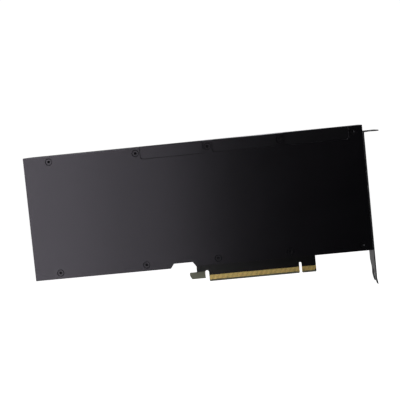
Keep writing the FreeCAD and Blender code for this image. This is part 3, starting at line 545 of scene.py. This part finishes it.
class CARD_OT_board(bpy.types.Operator):
    """Finishes the circuit board and its plated contacts."""

    bl_idname = "card.board"
    bl_label = "Finish the circuit board"

    def execute(self, context):
        dress(solder_mask_board("solder_mask"), "circuit_board")
        dress(gold_plating("gold_plating"), "edge_contacts_rear", "edge_contacts_front", "bridge_contacts")
        return {"FINISHED"}


class CARD_OT_metalwork(bpy.types.Operator):
    """Finishes the bracket, the screws, the springs and the heat sink."""

    bl_idname = "card.metalwork"
    bl_label = "Finish the metalwork"

    def execute(self, context):
        look = finish()
        dress(plated_steel("bracket_plating", look.bracket, 0.32, (1.0, 1.0, 0.06)), "io_bracket")
        dress(coated_metal("screw_black", look.screw, look.texture_depth * 0.5), "backplate_screws",
              "bracket_screws")
        dress(plated_steel("spring_steel", (0.5, 0.5, 0.52), 0.3), "retention_plate", "heat_sink_screws",
              "package_stiffener")
        dress(rolled_aluminium("fin_strip", look.fin), "fin_stack")
        dress(rolled_aluminium("nickel_plate", (0.62, 0.60, 0.57)), "heat_sink_base")
        return {"FINISHED"}


class CARD_OT_electronics(bpy.types.Operator):
    """Finishes the processor package, the power stages and the power inlet."""

    bl_idname = "card.electronics"
    bl_label = "Finish the electronics"

    def execute(self, context):
        dress(moulded_plastic("package_laminate", (0.03, 0.12, 0.06), 0.4), "processor_substrate")
        dress(plated_steel("solder", (0.55, 0.55, 0.57), 0.45), "solder_joints")
        dress(silicon_back("silicon"), "processor_die")
        dress(moulded_plastic("mould_compound", (0.022, 0.022, 0.024), 0.5), "memory_stacks",
              "power_stages", "small_chips", "bulk_capacitors")
        dress(pressed_ferrite("ferrite"), "power_chokes")
        dress(soft_pad("gap_pad"), "choke_pads")
        dress(moulded_plastic("header_plastic", (0.014, 0.014, 0.015), 0.36), "power_header")
        dress(plated_steel("tinned", (0.74, 0.73, 0.70), 0.28), "power_header_pins")
        return {"FINISHED"}


class CARD_OT_sockets(bpy.types.Operator):
    """Turns the drilled, cone-shaped bottoms of the backplate screws' sockets."""

    bl_idname = "card.sockets"
    bl_label = "Drill the screw sockets"

    def execute(self, context):
        rim = SOCKET_DEPTH * 0.25
        tip = rim + SOCKET_RADIUS * math.tan(SOCKET_SLOPE)
        profile = [(0.0, SOCKET_DEPTH), (SOCKET_RADIUS, SOCKET_DEPTH), (SOCKET_RADIUS, rim), (0.0, tip)]
        cups = turned_y("screw_socket_cones", screw_heads(), profile)
        bare = plated_steel("bare_steel", (0.055, 0.055, 0.06), 0.22, (1.0, 1.0, 1.0))
        cups.data.materials.append(bare.material)
        return {"FINISHED"}


class CARD_OT_traces(bpy.types.Operator):
    """Lays the copper runs and via rings under the solder mask, between the contacts and the housing."""

    bl_idname = "card.traces"
    bl_label = "Lay the edge traces"

    def execute(self, context):
        low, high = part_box("circuit_board")
        contact_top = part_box("edge_contacts_front")[1][2]
        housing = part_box("backplate")[0][2]
        mask = solder_mask_run("masked_copper")
        columns, place, paired = contact_columns()
        for side, face in (("rear", low[1]), ("front", high[1])):
            away = -1.0 if side == "rear" else 1.0
            top = face + away * TRACE_RISE
            runs = self.pairs(columns[paired], place[paired], contact_top, housing + TRACE_TUCK)
            necks = self.necks(columns[~paired], contact_top)
            middles = [(x, face, z) for x, z in zip(necks[:, -1, 0], necks[:, -1, 2])]
            dome = [(0.0, 0.0), (VIA_RADIUS, 0.0), (VIA_RADIUS * 0.85, away * TRACE_RISE * 1.3),
                    (VIA_RADIUS * 0.4, away * TRACE_RISE * 0.8), (0.0, away * TRACE_RISE * 0.6)]
            for piece in (strips(f"signal_traces_{side}", runs, TRACE_WIDTH, face, top),
                          strips(f"ground_traces_{side}", necks, GROUND_TRACE_WIDTH, face, top),
                          turned_y(f"ground_vias_{side}", middles, dome, 14)):
                piece.data.materials.append(mask.material)
        return {"FINISHED"}

    def pairs(self, columns, place, low, high):
        """Runs of the signal pairs: up from each contact, drawn together by a smooth step, then straight."""
        rise = np.array([0.0, 0.25, 0.35, 0.45, 0.55, 1.0])
        ease = np.clip((rise - 0.25) / 0.3, 0, 1)
        ease = ease * ease * (3 - 2 * ease)
        lean = np.where(place == 1, 1.0, -1.0) * (CONTACT_PITCH / 2 - TRACE_WIDTH)
        x = columns[:, None] + lean[:, None] * ease
        z = np.broadcast_to(low + rise * (high - low), x.shape)
        return np.stack([x, np.zeros_like(x), z], -1)

    def necks(self, columns, low):
        """Short necks up from the ground contacts, long and short in turn."""
        rise = np.array([0.0, 0.5, 1.0])
        length = np.where(np.arange(len(columns)) % 2, NECK_LENGTHS[1], NECK_LENGTHS[0])
        x = np.broadcast_to(columns[:, None], (len(columns), 3))
        return np.stack([x, np.zeros_like(x), low + length[:, None] * rise], -1)


class CARD_OT_capacitors(bpy.types.Operator):
    """Solders the row of coupling capacitors above the front contacts."""

    bl_idname = "card.capacitors"
    bl_label = "Place the coupling capacitors"

    def execute(self, context):
        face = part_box("circuit_board")[1][1]
        columns, place, paired = contact_columns()
        fitted = columns[paired][:-2 * PAIRS_WITHOUT_CAPACITORS]
        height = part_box("backplate")[0][2] - CAPACITOR_DROP
        places = [(x, face + CAPACITOR[1] / 2, height) for x in fitted]
        band = np.arange(CAPACITOR_RINGS - 1)
        tinned = (band < CAPACITOR_CAP_RINGS) | (band >= len(band) - CAPACITOR_CAP_RINGS)
        block = soft_blocks("coupling_capacitors", places, CAPACITOR, tinned.astype(np.int32)[None, :, None],
                            rings=CAPACITOR_RINGS)
        block.data.materials.append(moulded_plastic("ceramic", (0.16, 0.10, 0.06), 0.4).material)
        block.data.materials.append(plated_steel("tinned_ends", (0.6, 0.6, 0.58), 0.35).material)
        return {"FINISHED"}


class CARD_OT_studio(bpy.types.Operator):
    """Lays the pale floor, hangs the lights and places the camera."""

    bl_idname = "card.studio"
    bl_label = "Set up the studio"

    def execute(self, context):
        setup = context.scene.card_studio
        low, high = (np.array(corner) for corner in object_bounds())
        centre = (low + high) / 2
        self.world(setup)
        self.floor(low[2] - setup.floor_drop, setup.backdrop)
        self.dome(centre, setup.backdrop)
        for name, angle, width, brightness in KEY_STRIPS:
            turn = math.radians(angle)
            place = (-KEY_DISTANCE * math.sin(turn), -KEY_DISTANCE * math.cos(turn), KEY_HEIGHT)
            self.softbox(name, place, centre, width, KEY_LENGTH, setup.key * brightness)
        for name, place, width, height in SOFTBOXES:
            self.softbox(name, place, centre, width, height, getattr(setup, name))
        self.camera(context, setup)
        context.scene.view_settings.view_transform = "Standard"
        return {"FINISHED"}

    def world(self, setup):
        """A dark room, with the glow of a pale table behind the card and below it."""
        world = bpy.data.worlds.new("studio")
        world.use_nodes = True
        nodes = Nodes(world.node_tree, "Generated")
        glow = nodes.axis("Y").step(0.0, 0.35) * (1.0 - nodes.axis("Z").step(-0.15, 0.0))
        room = nodes.tree.nodes["Background"].inputs
        nodes.feed(room["Color"], WHITE)
        nodes.feed(room["Strength"], glow * (setup.table_glow - setup.ambient) + setup.ambient)
        bpy.context.scene.world = world

    def floor(self, height, brightness):
        """A pale floor that throws no light back on the card."""
        half = FLOOR_HALF
        mesh = bpy.data.meshes.new("floor")
        mesh.from_pydata([(-half, -half, height), (half, -half, height), (half, half, height),
                          (-half, half, height)], [], [(0, 1, 2, 3)])
        floor = bpy.data.objects.new("floor", mesh)
        bpy.context.scene.collection.objects.link(floor)
        paint = Paint("pale_floor")
        paint.colour(paint.mix(paint.noise(3.0), (0.90, 0.90, 0.90, 1.0), (0.93, 0.93, 0.93, 1.0)))
        paint.rough(0.8)
        paint.uniform("Emission Color", WHITE)
        paint.uniform("Emission Strength", brightness)
        floor.data.materials.append(paint.material)
        floor.visible_diffuse = False
        floor.visible_glossy = False
        floor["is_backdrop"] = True

    def dome(self, centre, brightness):
        """White backdrop all round: a sphere from two angles, seen by the camera alone."""
        turn, rise = np.meshgrid(np.linspace(0, 2 * np.pi, 49), np.linspace(-np.pi / 2, np.pi / 2, 25))
        points = np.stack([np.cos(rise) * np.cos(turn), np.cos(rise) * np.sin(turn), np.sin(rise)], -1)
        mesh = grid_mesh("backdrop", points * BACKDROP_RADIUS + centre)
        dome = bpy.data.objects.new("backdrop", mesh)
        bpy.context.scene.collection.objects.link(dome)
        paint = Paint("white_backdrop")
        paint.uniform("Base Color", WHITE)
        paint.uniform("Emission Color", WHITE)
        paint.uniform("Emission Strength", brightness)
        dome.data.materials.append(paint.material)
        dome.visible_diffuse = False
        dome.visible_glossy = False
        dome.visible_transmission = False
        dome.visible_shadow = False
        dome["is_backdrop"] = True

    def softbox(self, name, place, target, width, height, brightness):
        """A rectangle of even light; its power is pi times its area times its brightness."""
        light = bpy.data.lights.new(name, "AREA")
        light.shape = "RECTANGLE"
        light.size = width
        light.size_y = height
        light.energy = math.pi * width * height * brightness
        lamp = bpy.data.objects.new(name, light)
        bpy.context.scene.collection.objects.link(lamp)
        aim = target - np.array(place)
        lamp.location = place
        lamp.rotation_euler = (math.atan2(math.hypot(aim[0], aim[1]), -aim[2]), 0.0,
                               math.atan2(-aim[0], aim[1]))

    def camera(self, context, setup):
        """A long lens, level with the card's upper edge and looking a little down."""
        data = bpy.data.cameras.new("camera")
        data.sensor_width = CAMERA_SENSOR
        data.lens = CAMERA_LENS
        camera = bpy.data.objects.new("camera", data)
        camera.location = (CAMERA_SIDE, -setup.camera_distance, CAMERA_HEIGHT)
        camera.rotation_euler = [math.radians(angle) for angle in CAMERA_TURN]
        context.scene.collection.objects.link(camera)
        context.scene.camera = camera


class CARD_PT_panel(bpy.types.Panel):
    """Lists the card's finishes and the operators that apply them."""

    bl_idname = "CARD_PT_panel"
    bl_label = "Accelerator card"
    bl_space_type = "VIEW_3D"
    bl_region_type = "UI"
    bl_category = "Card"

    def draw(self, context):
        for group in (context.scene.card_finish, context.scene.card_studio):
            for name in group.bl_rna.properties.keys():
                if name not in ("rna_type", "name"):
                    self.layout.prop(group, name)
        for operator in OPERATORS:
            self.layout.operator(operator.bl_idname)


OPERATORS = (CARD_OT_housing, CARD_OT_board, CARD_OT_traces, CARD_OT_capacitors, CARD_OT_metalwork,
             CARD_OT_sockets, CARD_OT_electronics, CARD_OT_studio)
CLASSES = (CardFinish, StudioSetup, *OPERATORS, CARD_PT_panel)


def register():
    for cls in CLASSES:
        bpy.utils.register_class(cls)
    bpy.types.Scene.card_finish = bpy.props.PointerProperty(type=CardFinish)
    bpy.types.Scene.card_studio = bpy.props.PointerProperty(type=StudioSetup)


def unregister():
    del bpy.types.Scene.card_studio
    del bpy.types.Scene.card_finish
    for cls in reversed(CLASSES):
        bpy.utils.unregister_class(cls)


def main():
    register()
    for operator in OPERATORS:
        group, name = operator.bl_idname.split(".")
        getattr(getattr(bpy.ops, group), name)()


if __name__ == "__main__":
    main()
